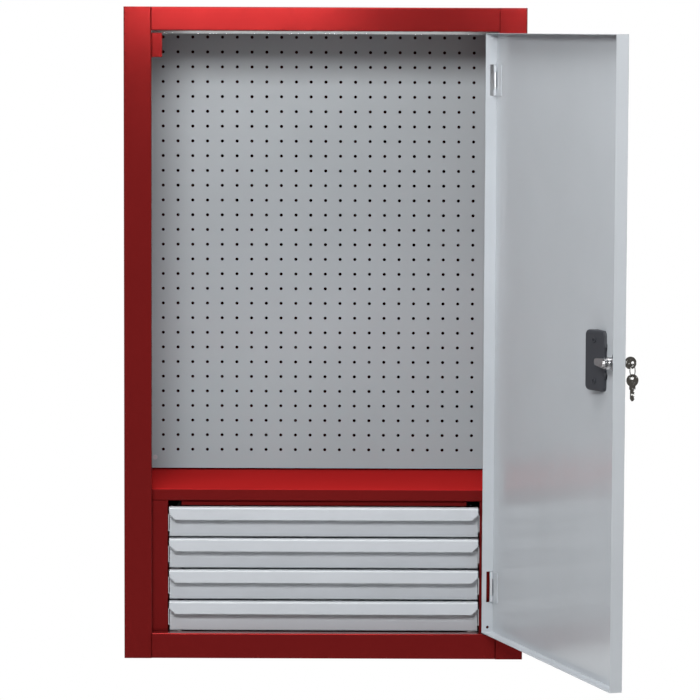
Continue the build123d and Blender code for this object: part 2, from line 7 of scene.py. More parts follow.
import json
import logging
import math
from dataclasses import dataclass
from enum import Enum
from typing import Any

import bmesh
import bpy
from mathutils import Matrix, Vector

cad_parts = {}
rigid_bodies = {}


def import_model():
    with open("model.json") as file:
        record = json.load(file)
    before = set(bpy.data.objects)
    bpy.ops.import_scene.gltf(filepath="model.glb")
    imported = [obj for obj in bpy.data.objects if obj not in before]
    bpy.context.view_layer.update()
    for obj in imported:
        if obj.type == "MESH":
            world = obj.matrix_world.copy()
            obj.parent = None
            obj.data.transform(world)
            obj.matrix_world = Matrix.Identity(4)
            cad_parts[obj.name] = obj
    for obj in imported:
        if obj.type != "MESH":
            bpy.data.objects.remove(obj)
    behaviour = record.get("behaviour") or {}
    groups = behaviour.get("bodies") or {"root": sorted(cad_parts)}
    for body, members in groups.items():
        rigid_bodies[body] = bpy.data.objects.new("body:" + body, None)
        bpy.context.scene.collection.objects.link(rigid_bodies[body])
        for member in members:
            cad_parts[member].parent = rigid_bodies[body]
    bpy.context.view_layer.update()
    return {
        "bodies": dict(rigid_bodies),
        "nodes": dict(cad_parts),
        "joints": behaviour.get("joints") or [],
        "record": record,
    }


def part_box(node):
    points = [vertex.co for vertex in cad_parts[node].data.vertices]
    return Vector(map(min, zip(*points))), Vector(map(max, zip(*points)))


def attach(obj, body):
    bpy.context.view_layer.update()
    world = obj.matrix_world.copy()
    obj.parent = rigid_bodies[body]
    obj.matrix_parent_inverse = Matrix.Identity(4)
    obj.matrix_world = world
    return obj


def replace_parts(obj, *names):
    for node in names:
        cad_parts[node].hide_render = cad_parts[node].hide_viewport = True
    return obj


LOG = logging.getLogger("tool_cabinet")
MM = 0.001
SHARP_ANGLE = math.radians(35)
PATTERN_LOW, PATTERN_HIGH = 0.25, 0.75
SMOOTHEST = 0.02
Colour = tuple[float, float, float]
Point = tuple[float, float]


def shown(red: int, green: int, blue: int) -> Colour:
    """Colour as a screen shows it, turned into the linear values that a shader takes.

    Args:
        red: red from 0 to 255.
        green: green from 0 to 255.
        blue: blue from 0 to 255.

    Returns:
        The linear colour.
    """
    def linear(part: int) -> float:
        """One channel, from screen value to linear."""
        share = part / 255
        return share / 12.92 if share <= 0.04045 else ((share + 0.055) / 1.055) ** 2.4

    return linear(red), linear(green), linear(blue)


class Slot(Enum):
    """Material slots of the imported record."""

    RED = "red_paint"
    GREY = "grey_paint"
    ZINC = "zinc_steel"
    CHROME = "lock_chrome"
    NICKEL = "key_nickel"
    PLASTIC = "black_plastic"


class Graph:
    """Adds and links the nodes of one shader or geometry tree."""

    def __init__(self, tree: bpy.types.NodeTree) -> None:
        """Starts on an empty tree."""
        self.tree = tree
        self.tree.nodes.clear()

    def add(self, kind: str, inputs: dict[Any, Any] | None = None, **settings: Any) -> bpy.types.Node:
        """Adds a node.

        Args:
            kind: Blender's name of the node type.
            inputs: values or sockets for its inputs, by name or by number.
            **settings: the node's own properties.

        Returns:
            The new node.
        """
        node = self.tree.nodes.new(kind)
        for name, value in settings.items():
            setattr(node, name, value)
        for key, value in (inputs or {}).items():
            if isinstance(value, bpy.types.NodeSocket):
                self.tree.links.new(value, node.inputs[key])
            else:
                node.inputs[key].default_value = value
        return node

    def math(self, operation: str, first: Any, second: Any = 0.0) -> bpy.types.NodeSocket:
        """Result of one sum on two numbers or sockets."""
        return self.add("ShaderNodeMath", {0: first, 1: second}, operation=operation).outputs[0]

    def noise(self, place: Any, size: float, detail: float = 2.0) -> bpy.types.NodeSocket:
        """Cloudy pattern whose patches are about as wide as size."""
        inputs = {"Vector": place, "Scale": 1 / size, "Detail": detail}
        return self.add("ShaderNodeTexNoise", inputs).outputs[0]

    def spread(self, value: Any, low: float, high: float) -> bpy.types.NodeSocket:
        """Maps the middle half of a pattern onto a range."""
        inputs = {"From Min": PATTERN_LOW, "From Max": PATTERN_HIGH, "To Min": low, "To Max": high}
        return self.add("ShaderNodeMapRange", {"Value": value, **inputs}).outputs[0]

    def relief(
        self, height: Any, depth: float, strength: float, under: Any = None,
    ) -> bpy.types.NodeSocket:
        """Surface relief from a pattern, on top of another relief where one is given.

        Args:
            height: the pattern.
            depth: how far the pattern rises.
            strength: share of the relief that shows.
            under: a relief that this one lies on.

        Returns:
            The relief's normal.
        """
        inputs = {"Height": height, "Distance": depth, "Strength": strength}
        if under is not None:
            inputs["Normal"] = under
        return self.add("ShaderNodeBump", inputs).outputs[0]


@dataclass(frozen=True)
class Finish:
    """What every surface has: a colour that drifts, a gloss that drifts, and a relief."""

    name: str
    colour: Colour
    roughness: float
    metallic: float = 0.0
    specular: float = 0.5
    tint: Colour = (1.0, 1.0, 1.0)
    drift: float = 0.04
    drift_size: float = 0.22
    gloss_drift: float = 0.04
    gloss_size: float = 0.03
    gloss_detail: int = 4

    def pigment(self, graph: Graph, place: bpy.types.NodeSocket) -> Any:
        """Colour before it drifts."""
        return (*self.colour, 1.0)

    def relief(self, graph: Graph, place: bpy.types.NodeSocket) -> bpy.types.NodeSocket:
        """Surface relief; each kind of finish has its own."""
        raise NotImplementedError

    def material(self) -> bpy.types.Material:
        """Builds the finish once and returns it.

        Returns:
            The material.
        """
        known = bpy.data.materials.get(self.name)
        if known is not None:
            return known
        material = bpy.data.materials.new(self.name)
        material.use_nodes = True
        graph = Graph(material.node_tree)
        place = graph.add("ShaderNodeTexCoord").outputs["Object"]
        value = graph.spread(graph.noise(place, self.drift_size), 1 - self.drift, 1 + self.drift)
        pigment = self.pigment(graph, place)
        paint = graph.add("ShaderNodeHueSaturation", {"Color": pigment, "Value": value})
        patches = graph.noise(place, self.gloss_size, self.gloss_detail)
        low = max(self.roughness - self.gloss_drift, SMOOTHEST)
        gloss = graph.spread(patches, low, self.roughness + self.gloss_drift)
        shader = graph.add("ShaderNodeBsdfPrincipled", {
            "Base Color": paint.outputs[0],
            "Roughness": gloss,
            "Metallic": self.metallic,
            "Specular IOR Level": self.specular,
            "Specular Tint": (*self.tint, 1),
            "Normal": self.relief(graph, place),
        })
        graph.add("ShaderNodeOutputMaterial", {"Surface": shader.outputs[0]})
        return material


@dataclass(frozen=True)
class PowderCoat(Finish):
    """Sprayed and baked paint: a fine orange peel over sheet metal that isn't quite flat."""

    peel_size: float = 1.6 * MM
    peel_depth: float = 0.02 * MM
    peel_strength: float = 0.5
    wave_size: float = 160 * MM
    wave_depth: float = 0.5 * MM

    def relief(self, graph: Graph, place: bpy.types.NodeSocket) -> bpy.types.NodeSocket:
        """Slow waves of the sheet under the fine skin of the paint."""
        wave = graph.relief(graph.noise(place, self.wave_size, 0), self.wave_depth, 1.0)
        peel = graph.noise(place, self.peel_size)
        return graph.relief(peel, self.peel_depth, self.peel_strength, wave)


@dataclass(frozen=True)
class LightAndShadePaint(PowderCoat):
    """Paint whose colour changes at a level, used here for painted light and shade: a painted lit top
    on the ledge, painted shade on the back plate's inner face and a panel foot painted cooler against
    the ledge's red light.
    """

    beyond: Colour = (0.5, 0.5, 0.5)
    axis: int = 2
    level: float = 0.0
    blend: float = 0.3 * MM

    def pigment(self, graph: Graph, place: bpy.types.NodeSocket) -> Any:
        """One colour below the level and the other beyond it."""
        along = graph.add("ShaderNodeSeparateXYZ", {0: place}).outputs[self.axis]
        ends = {"From Min": self.level - self.blend, "From Max": self.level + self.blend}
        share = graph.add("ShaderNodeMapRange", {"Value": along, **ends}).outputs[0]
        return graph.add("ShaderNodeMixRGB", {
            "Fac": share, "Color1": (*self.colour, 1), "Color2": (*self.beyond, 1),
        }).outputs[0]


@dataclass(frozen=True)
class PlatedMetal(Finish):
    """Plated or bare metal with fine lines along one axis and a mottled sheen."""

    line_size: float = 0.4 * MM
    line_stretch: tuple[float, float, float] = (1.0, 1.0, 0.05)
    line_depth: float = 0.01 * MM
    line_detail: int = 3
    line_strength: float = 0.6

    def relief(self, graph: Graph, place: bpy.types.NodeSocket) -> bpy.types.NodeSocket:
        """Fine lines left by rolling or polishing."""
        along = graph.add("ShaderNodeMapping", {"Vector": place, "Scale": self.line_stretch}).outputs[0]
        lines = graph.noise(along, self.line_size, self.line_detail)
        return graph.relief(lines, self.line_depth, self.line_strength)


@dataclass(frozen=True)
class PaintedGlintPlate(PlatedMetal):
    """Dark plating with painted glints: bright spots painted into its colour."""

    bright: Colour = (0.8, 0.8, 0.78)
    glint_size: float = 4 * MM
    glint_detail: int = 3
    glint_from: float = 0.6
    glint_to: float = 0.66

    def pigment(self, graph: Graph, place: bpy.types.NodeSocket) -> Any:
        """Dark plating with bright spots painted as glints."""
        glints = graph.noise(place, self.glint_size, self.glint_detail)
        ends = {"From Min": self.glint_from, "From Max": self.glint_to}
        share = graph.add("ShaderNodeMapRange", {"Value": glints, **ends}).outputs[0]
        return graph.add("ShaderNodeMixRGB", {
            "Fac": share, "Color1": (*self.colour, 1), "Color2": (*self.bright, 1),
        }).outputs[0]


@dataclass(frozen=True)
class MouldedPlastic(Finish):
    """Injection-moulded plastic with a fine etched grain."""

    grain_size: float = 0.7 * MM
    grain_depth: float = 0.05 * MM
    grain_strength: float = 0.5

    def relief(self, graph: Graph, place: bpy.types.NodeSocket) -> bpy.types.NodeSocket:
        """Small rounded cells of the mould's etching."""
        cells = graph.add("ShaderNodeTexVoronoi", {"Vector": place, "Scale": 1 / self.grain_size})
        return graph.relief(cells.outputs["Distance"], self.grain_depth, self.grain_strength)


RED_TINT = (1.0, 0.06, 0.06)
LEDGE_RAIL_RED = shown(106, 24, 24)
# Brighter red for the ledge's top face: painted light on an upward face.
LEDGE_TOP_LIT_RED = shown(168, 34, 34)
# Near-black red for the back plate's inner face: painted shade behind the perforated panel.
INNER_BACK_SHADE_RED = shown(24, 8, 8)
# Cooler grey for the panel's foot: painted against the red light bounced from the ledge.
PANEL_FOOT_BOUNCE_CANCEL_GREY = shown(157, 174, 179)
RED_PAINT = PowderCoat(
    "red_powder_coat", shown(80, 17, 17), 0.15, specular=0.85, tint=RED_TINT, gloss_drift=0.01,
    wave_depth=0.3 * MM,
)
DOOR_PAINT = PowderCoat("door_powder_coat", shown(185, 190, 195), 0.2, wave_depth=0.25 * MM)
PANEL_PAINT = PowderCoat("panel_powder_coat", shown(162, 169, 174), 0.4, wave_depth=0.25 * MM)
DRAWER_PAINT = PowderCoat("drawer_powder_coat", shown(186, 190, 195), 0.36)
GALVANISED = PlatedMetal(
    "galvanised_sheet", (0.8, 0.8, 0.81), 0.25, metallic=1.0, drift=0.06, drift_size=0.02,
)
ZINC = PlatedMetal(
    "zinc_plate", (0.52, 0.53, 0.55), 0.32, metallic=1.0, drift=0.08, drift_size=0.012,
)
BRIGHT_ZINC = PlatedMetal(
    "bright_zinc_plate", (0.5, 0.5, 0.5), 0.3, metallic=1.0, drift=0.1, drift_size=0.004,
)
CHROME = PlatedMetal("chrome_plate", (0.40, 0.40, 0.41), 0.16, metallic=1.0, gloss_drift=0.05)
DARK_STEEL = PlatedMetal(
    "blackened_steel", (0.05, 0.05, 0.055), 0.4, metallic=1.0, drift=0.12, drift_size=0.01,
)
# The keys' dark plating carries painted glints.
NICKEL = PaintedGlintPlate(
    "dark_nickel_plate", (0.06, 0.056, 0.05), 0.28, metallic=1.0, drift=0.15, drift_size=0.006,
)
BLACK_PLASTIC = MouldedPlastic(
    "black_moulded_plastic", shown(46, 48, 53), 0.55, specular=0.25, drift=0.06, drift_size=0.03,
)


@dataclass(frozen=True)
class Axes:
    """A place with three axes of its own, such as the lock's or the open door's."""

    origin: Vector
    right: Vector
    up: Vector
    out: Vector

    def matrix(self) -> Matrix:
        """Matrix that carries a mesh from these axes to the model's frame."""
        turn = Matrix((self.right, self.up, self.out)).transposed().to_4x4()
        return Matrix.Translation(self.origin) @ turn


def joint_named(frame: dict[str, Any], name: str) -> dict[str, Any]:
    """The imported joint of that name."""
    return next(joint for joint in frame["joints"] if joint["name"] == name)


def coat(finish: Finish, *nodes: str) -> None:
    """Gives carried-over pieces a finish in their material slots."""
    for node in nodes:
        mesh = bpy.data.objects[node].data
        mesh.materials.clear()
        mesh.materials.append(finish.material())
        LOG.info("%s wears %s", node, finish.name)


def place(mesh: bpy.types.Mesh, name: str, body: str, slot: Slot, finish: Finish) -> bpy.types.Object:
    """Puts a finished mesh in the scene and lets it ride on a body.

    Args:
        mesh: the mesh, already in the model's frame.
        name: the piece's name.
        body: the body that carries it.
        slot: the record's material slot; not used.
        finish: what it wears.

    Returns:
        The piece.
    """
    mesh.name = name
    mesh.materials.clear()
    mesh.materials.append(finish.material())
    piece = bpy.data.objects.new(name, mesh)
    bpy.context.scene.collection.objects.link(piece)
    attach(piece, body)
    LOG.info("%s rides on %s, %d faces", name, body, len(mesh.polygons))
    return piece


def plain_mesh(source: bpy.types.Object) -> bpy.types.Mesh:
    """Turns a curve or a piece with modifiers into a plain mesh and removes the source."""
    evaluated = source.evaluated_get(bpy.context.evaluated_depsgraph_get())
    mesh = bpy.data.meshes.new_from_object(evaluated)
    data = source.data
    bpy.data.objects.remove(source)
    (bpy.data.meshes if isinstance(data, bpy.types.Mesh) else bpy.data.curves).remove(data)
    mesh.shade_smooth()
    mesh.set_sharp_from_angle(angle=SHARP_ANGLE)
    return mesh


class Pattern:
    """A geometry tree with named inputs, which grows a plain mesh."""

    def __init__(self, name: str) -> None:
        """Starts a tree that has a material input and one geometry output."""
        self.tree = bpy.data.node_groups.new(name, "GeometryNodeTree")
        self.graph = Graph(self.tree)
        self.tree.interface.new_socket("Geometry", in_out="OUTPUT", socket_type="NodeSocketGeometry")
        self.values: dict[str, Any] = {}
        self.source = self.graph.add("NodeGroupInput")
        self.finish = self.number("Finish", None, "NodeSocketMaterial")

    def number(self, name: str, value: Any, kind: str = "NodeSocketFloat") -> bpy.types.NodeSocket:
        """Adds a named input with its value and returns its socket inside the tree."""
        socket = self.tree.interface.new_socket(name, in_out="INPUT", socket_type=kind)
        self.values[socket.identifier] = value
        return self.source.outputs[name]

    def close(self, geometry: bpy.types.NodeSocket) -> None:
        """Ends the tree: real instances, a material and the output."""
        real = self.graph.add("GeometryNodeRealizeInstances", {"Geometry": geometry})
        dressed = self.graph.add(
            "GeometryNodeSetMaterial", {"Geometry": real.outputs[0], "Material": self.finish}
        )
        self.graph.add("NodeGroupOutput", {0: dressed.outputs[0]})

    def grow(self, finish: Finish) -> bpy.types.Mesh:
        """Evaluates the tree once.

        Args:
            finish: what the mesh wears.

        Returns:
            The plain mesh.
        """
        host = bpy.data.objects.new("host", bpy.data.meshes.new("host"))
        bpy.context.scene.collection.objects.link(host)
        modifier = host.modifiers.new("pattern", "NODES")
        modifier.node_group = self.tree
        for identifier, value in self.values.items():
            modifier[identifier] = finish.material() if value is None else value
        return plain_mesh(host)


@dataclass
class Carcass:
    """Red steel box with its ledge, housing and door stop."""

    half_width: float
    front: float
    post: float = 45 * MM
    bead_width: float = 5 * MM
    bead_height: float = 0.25 * MM
    bead_inset: float = 1 * MM
    bead_steps: int = 48
    bead_sides: int = 12
    sheet: float = 1.2 * MM
    flange_setback: float = 7.6 * MM
    flange_inset: float = 19 * MM
    flange_gap: float = 0.9 * MM
    nodes: tuple[str, ...] = (
        "left_side", "right_side", "top_panel", "bottom_panel", "door_stop", "left_housing_side",
        "right_housing_side",
    )

    @classmethod
    def from_frame(cls) -> Carcass:
        """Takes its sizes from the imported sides."""
        low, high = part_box("right_side")
        return cls(half_width=high.x, front=low.y)

    def ledge_paint(self) -> LightAndShadePaint:
        """The ledge's paint, with painted light: its top face is painted brighter than its rail, as
        light falls on that face from above.
        """
        return LightAndShadePaint(
            "ledge_lit_top_powder_coat", LEDGE_RAIL_RED, 0.5, specular=0.0, beyond=LEDGE_TOP_LIT_RED,
            level=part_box("shelf_ledge")[1].z - self.sheet,
        )

    def dress(self) -> None:
        """Paints the box."""
        coat(RED_PAINT, *self.nodes)
        coat(self.ledge_paint(), "shelf_ledge")
        low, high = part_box("back_panel")
        # The back plate's inner half is painted near-black red: painted shade seen through the panel's
        # holes.
        coat(LightAndShadePaint(
            "back_shaded_powder_coat", INNER_BACK_SHADE_RED, 0.5, specular=0.2, tint=RED_TINT,
            beyond=RED_PAINT.colour, axis=1, level=(low.y + high.y) / 2,
        ), "back_panel")

    def bead(self, name: str, x: float, foot: float, head: float) -> None:
        """Ground-down weld between a rail and a post.

        Args:
            name: the piece's name.
            x: where the rail meets the post.
            foot: height of its lower end.
            head: height of its upper end.
        """
        pattern = Pattern(name)
        graph = pattern.graph
        width = pattern.number("Width", self.bead_width)
        height = pattern.number("Height", self.bead_height)
        line = graph.add("GeometryNodeCurvePrimitiveLine", {
            "Start": (x, self.front, foot), "End": (x, self.front, head),
        })
        fine = graph.add("GeometryNodeResampleCurve", {
            "Curve": line.outputs[0], "Count": self.bead_steps,
        })
        round_wire = graph.add("GeometryNodeCurvePrimitiveCircle", {
            "Resolution": self.bead_sides, "Radius": 1.0,
        })
        section = graph.add("GeometryNodeTransform", {
            "Geometry": round_wire.outputs[0],
            "Scale": graph.add("ShaderNodeCombineXYZ", {0: height, 1: width, 2: 1.0}).outputs[0],
        })
        solid = graph.add("GeometryNodeCurveToMesh", {
            "Curve": fine.outputs[0], "Profile Curve": section.outputs[0], "Fill Caps": True,
        })
        pattern.close(solid.outputs[0])
        place(pattern.grow(RED_PAINT), name, "cabinet", Slot.RED, RED_PAINT)

    def flange(self) -> None:
        """Hangs the ledge's set-back flange, which nearly closes the gap over the top drawer."""
        ledge_low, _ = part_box("shelf_ledge")
        _, drawer_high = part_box("drawer_1_front")
        foot = drawer_high.z + self.flange_gap
        head = ledge_low.z + self.sheet
        pattern = Pattern("ledge_flange")
        plate = pattern.graph.add("GeometryNodeMeshCube", {
            "Size": (2 * (drawer_high.x - self.flange_inset), self.sheet, head - foot),
        })
        moved = pattern.graph.add("GeometryNodeTransform", {
            "Geometry": plate.outputs[0],
            "Translation": (0.0, ledge_low.y + self.flange_setback, (foot + head) / 2),
        })
        pattern.close(moved.outputs[0])
        paint = self.ledge_paint()
        place(pattern.grow(paint), "ledge_flange", "cabinet", Slot.RED, paint)

    def build(self) -> None:
        """Adds the ledge's flange and the welds at the four corners of the front."""
        self.flange()
        seam = self.half_width - self.post
        for rail, word in (("top_panel", "top"), ("bottom_panel", "bottom")):
            low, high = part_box(rail)
            for side, hand in (("left", -1), ("right", 1)):
                foot, head = low.z + self.bead_inset, high.z - self.bead_inset
                self.bead(f"{word}_{side}_weld", hand * seam, foot, head)


@dataclass
class ToolPanel:
    """Light grey perforated panel with its rails and screws."""

    low: Vector
    high: Vector
    pitch: float = 25 * MM
    columns: int = 23
    rows: int = 29
    hole: float = 5.4 * MM
    hole_sides: int = 16
    top_margin: float = 12 * MM
    edge_share: float = 0.45
    merge: float = 0.05 * MM
    warm_reach: float = 220 * MM

    @classmethod
    def from_frame(cls) -> ToolPanel:
        """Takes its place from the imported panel."""
        return cls(*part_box("pegboard_panel"))

    def tile(self, pattern: Pattern, pitch: Any) -> bpy.types.NodeSocket:
        """One square of the sheet with a round hole in it.

        Args:
            pattern: the tree that it is part of.
            pitch: the side of the square.

        Returns:
            The tile's geometry.
        """
        graph = pattern.graph
        radius = graph.math("DIVIDE", pattern.number("Hole", self.hole), 2.0)
        ring = graph.add("GeometryNodeMeshCircle", {"Vertices": self.hole_sides, "Radius": radius})
        doubled = graph.add("GeometryNodeExtrudeMesh", {
            "Mesh": ring.outputs[0], "Offset Scale": 0.0,
        }, mode="EDGES")
        at = graph.add("GeometryNodeInputPosition").outputs[0]
        parts = graph.add("ShaderNodeSeparateXYZ", {0: at}).outputs
        side, rise = (graph.math("ABSOLUTE", part) for part in (parts[0], parts[1]))
        reach = graph.math("MAXIMUM", side, rise)
        share = graph.math("DIVIDE", graph.math("DIVIDE", pitch, 2.0), reach)
        square = graph.add("ShaderNodeVectorMath", {0: at, "Scale": share}, operation="SCALE")
        tile = graph.add("GeometryNodeSetPosition", {
            "Geometry": doubled.outputs["Mesh"], "Selection": doubled.outputs["Top"],
            "Position": square.outputs[0],
        })
        return tile.outputs[0]

    @staticmethod
    def to_edge(
        graph: Graph, value: Any, limit: float, high: float, low: float,
    ) -> bpy.types.NodeSocket:
        """Carries points past a limit, on either side, out to the sheet's own edge.

        Args:
            graph: the tree's nodes.
            value: one coordinate of the points.
            limit: how far from the middle the outermost tiles' own edges begin.
            high: where the sheet ends on the high side.
            low: where it ends on the low side.

        Returns:
            The coordinate, moved where it was past the limit.
        """
        past_high = graph.math("GREATER_THAN", value, limit)
        past_low = graph.math("LESS_THAN", value, -limit)
        inside = graph.math("SUBTRACT", 1.0, graph.math("ADD", past_high, past_low))
        kept = graph.math("MULTIPLY", value, inside)
        to_high = graph.math("MULTIPLY", past_high, high)
        to_low = graph.math("MULTIPLY", past_low, low)
        return graph.math("ADD", kept, graph.math("ADD", to_high, to_low))

    def paint(self) -> LightAndShadePaint:
        """The panel's paint, painted cooler at the foot to cancel the red light that the ledge throws
        on it.
        """
        return LightAndShadePaint(
            "sheet_bounce_cancel_powder_coat", PANEL_FOOT_BOUNCE_CANCEL_GREY, PANEL_PAINT.roughness,
            wave_depth=PANEL_PAINT.wave_depth, beyond=PANEL_PAINT.colour,
            level=self.low.z + self.warm_reach / 2, blend=self.warm_reach / 2,
        )

    def build(self) -> None:
        """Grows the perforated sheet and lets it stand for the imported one."""
        paint = self.paint()
        middle = self.high.z - self.top_margin - self.pitch * (self.rows - 1) / 2
        pattern = Pattern("perforated_sheet")
        graph = pattern.graph
        pitch = pattern.number("Pitch", self.pitch)
        columns = pattern.number("Columns", self.columns, "NodeSocketInt")
        rows = pattern.number("Rows", self.rows, "NodeSocketInt")
        thickness = pattern.number("Thickness", self.high.y - self.low.y)
        tile = self.tile(pattern, pitch)
        grid = graph.add("GeometryNodeMeshGrid", {
            "Size X": graph.math("MULTIPLY", pitch, graph.math("SUBTRACT", columns, 1.0)),
            "Size Y": graph.math("MULTIPLY", pitch, graph.math("SUBTRACT", rows, 1.0)),
            "Vertices X": columns,
            "Vertices Y": rows,
        })
        tiles = graph.add("GeometryNodeInstanceOnPoints", {"Points": grid.outputs[0], "Instance": tile})
        real = graph.add("GeometryNodeRealizeInstances", {"Geometry": tiles.outputs[0]})
        sheet = graph.add("GeometryNodeMergeByDistance", {
            "Geometry": real.outputs[0], "Distance": self.merge,
        })
        at = graph.add("GeometryNodeInputPosition").outputs[0]
        parts = graph.add("ShaderNodeSeparateXYZ", {0: at}).outputs
        near_edge = self.edge_share * self.pitch
        across = self.pitch * (self.columns - 1) / 2 + near_edge
        along = self.pitch * (self.rows - 1) / 2 + near_edge
        square = graph.add("ShaderNodeCombineXYZ", {
            0: self.to_edge(graph, parts[0], across, self.high.x, self.low.x),
            1: self.to_edge(graph, parts[1], along, self.high.z - middle, self.low.z - middle),
            2: parts[2],
        })
        trimmed = graph.add("GeometryNodeSetPosition", {
            "Geometry": sheet.outputs[0], "Position": square.outputs[0],
        }).outputs[0]
        back = graph.add("ShaderNodeCombineXYZ", {2: graph.math("MULTIPLY", thickness, -1.0)})
        raised = graph.add("GeometryNodeExtrudeMesh", {
            "Mesh": trimmed, "Offset": back.outputs[0], "Offset Scale": 1.0, "Individual": False,
        }, mode="FACES")
        flipped = graph.add("GeometryNodeFlipFaces", {"Mesh": trimmed})
        both = graph.add("GeometryNodeJoinGeometry")
        for part in (raised.outputs["Mesh"], flipped.outputs[0]):
            graph.tree.links.new(part, both.inputs[0])
        whole = graph.add("GeometryNodeMergeByDistance", {
            "Geometry": both.outputs[0], "Distance": self.merge,
        })
        upright = graph.add("GeometryNodeTransform", {
            "Geometry": whole.outputs[0],
            "Translation": (0.0, self.low.y, middle),
            "Rotation": (math.radians(90), 0.0, 0.0),
        })
        pattern.close(upright.outputs[0])
        piece = place(pattern.grow(paint), "perforated_panel", "cabinet", Slot.GREY, paint)
        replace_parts(piece, "pegboard_panel")

    def dress(self) -> None:
        """Paints the upright rails and leaves the hook rail and the screws bare."""
        coat(PANEL_PAINT, "left_pegboard_rail", "right_pegboard_rail")
        coat(GALVANISED, "pegboard_top_rail")
        coat(ZINC, "pegboard_screws")


@dataclass
class DrawerSet:
    """Four drawers with their fronts, trays and slides."""

    count: int = 4

    def dress(self) -> None:
        """Paints the drawers and plates their runners."""
        for number in range(1, self.count + 1):
            coat(DRAWER_PAINT, f"drawer_{number}_front", f"drawer_{number}_tray")
            coat(ZINC, f"drawer_{number}_slides")
        coat(ZINC, "left_runner_channels", "right_runner_channels")


@dataclass
class Door:
    """Grey folded door on two concealed hinges, with a moulded pull."""

    axes: Axes
    pull_width: float = 49 * MM
    pull_slope_depth: float = 13 * MM
    pull_slope: float = 0.85
    catch_spacing: float = 62 * MM
    catch_width: float = 7 * MM
    catch_wire: float = 1.0 * MM
    catch_rise: float = 0.7 * MM
    catch_steps: int = 20
    catch_sides: int = 8
    weld_distance: float = 0.001 * MM

    @classmethod
    def from_frame(cls, frame: dict[str, Any]) -> Door:
        """Takes its axes from its joints: right runs to the free edge, out to the inner side."""
        outward = Vector(joint_named(frame, "lock_turn")["axis"])
        pin = Vector(joint_named(frame, "door_swing")["pos_m"])
        up = Vector((0.0, 0.0, 1.0))
        return cls(Axes(pin, outward.cross(up), up, -outward))

    def dress(self) -> None:
        """Paints the door and plates the hinges."""
        coat(DOOR_PAINT, "door_skin", "door_edge_frame")
        for name in ("upper", "lower"):
            coat(DOOR_PAINT, f"{name}_hinge_door_leaf")
            coat(ZINC, f"{name}_hinge_pin", f"{name}_hinge_frame_leaf")

    def pull(self) -> None:
        """Moulds the pull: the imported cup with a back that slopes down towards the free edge."""
        to_door = self.axes.matrix().inverted()
        mesh = bpy.data.objects["handle_cup"].data.copy()
        shape = bmesh.new()
        shape.from_mesh(mesh)
        bmesh.ops.remove_doubles(shape, verts=shape.verts, dist=self.weld_distance)
        bmesh.ops.transform(shape, matrix=to_door, verts=shape.verts)
        across = [vertex.co.x for vertex in shape.verts]
        middle = (min(across) + max(across)) / 2
        back = max(vertex.co.z for vertex in shape.verts)
        base = back - self.pull_slope_depth
        for vertex in shape.verts:
            if vertex.co.z > base:
                share = (vertex.co.x - middle) / self.pull_width + 0.5
                vertex.co.z = base + (vertex.co.z - base) * (1 - self.pull_slope * share)
        heights = [vertex.co.y for vertex in shape.verts]
        level = (min(heights) + max(heights)) / 2
        bmesh.ops.transform(shape, matrix=self.axes.matrix(), verts=shape.verts)
        shape.to_mesh(mesh)
        shape.free()
        mesh.shade_smooth()
        mesh.set_sharp_from_angle(angle=SHARP_ANGLE)
        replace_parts(place(mesh, "moulded_pull", "door", Slot.PLASTIC, BLACK_PLASTIC), "handle_cup")
        fall = self.pull_slope * self.pull_slope_depth
        self.catches(Vector((middle, level, back - fall / 2)), math.atan2(fall, self.pull_width))

    def catches(self, middle: Vector, slope: float) -> None:
        """Two wire loops on the pull's sloping back.

        Args:
            middle: the slope's middle in the door's axes.
            slope: how far the back leans towards the free edge, in radians.
        """
        pattern = Pattern("spring_catches")
        graph = pattern.graph
        spacing = pattern.number("Spacing", self.catch_spacing)
        loop = graph.add("GeometryNodeCurvePrimitiveCircle", {
            "Resolution": self.catch_steps,
            "Radius": pattern.number("Radius", self.catch_width / 2),
        })
        wire = graph.add("GeometryNodeCurvePrimitiveCircle", {
            "Resolution": self.catch_sides, "Radius": pattern.number("Wire", self.catch_wire),
        })
        solid = graph.add("GeometryNodeCurveToMesh", {
            "Curve": loop.outputs[0], "Profile Curve": wire.outputs[0],
        })
        low = graph.add("ShaderNodeCombineXYZ", {1: graph.math("MULTIPLY", spacing, -0.5)})
        step = graph.add("ShaderNodeCombineXYZ", {1: spacing})
        row = graph.add("GeometryNodeMeshLine", {
            "Count": 2, "Start Location": low.outputs[0], "Offset": step.outputs[0],
        })
        both = graph.add("GeometryNodeInstanceOnPoints", {
            "Points": row.outputs[0], "Instance": solid.outputs[0],
        })
        pattern.close(both.outputs[0])
        mesh = pattern.grow(BLACK_PLASTIC)
        lean = Matrix.Translation(middle) @ Matrix.Rotation(slope, 4, "Y")
        lean @= Matrix.Translation((0, 0, self.catch_rise))
        mesh.transform(self.axes.matrix() @ lean)
        place(mesh, "pull_catches", "door", Slot.PLASTIC, BLACK_PLASTIC)


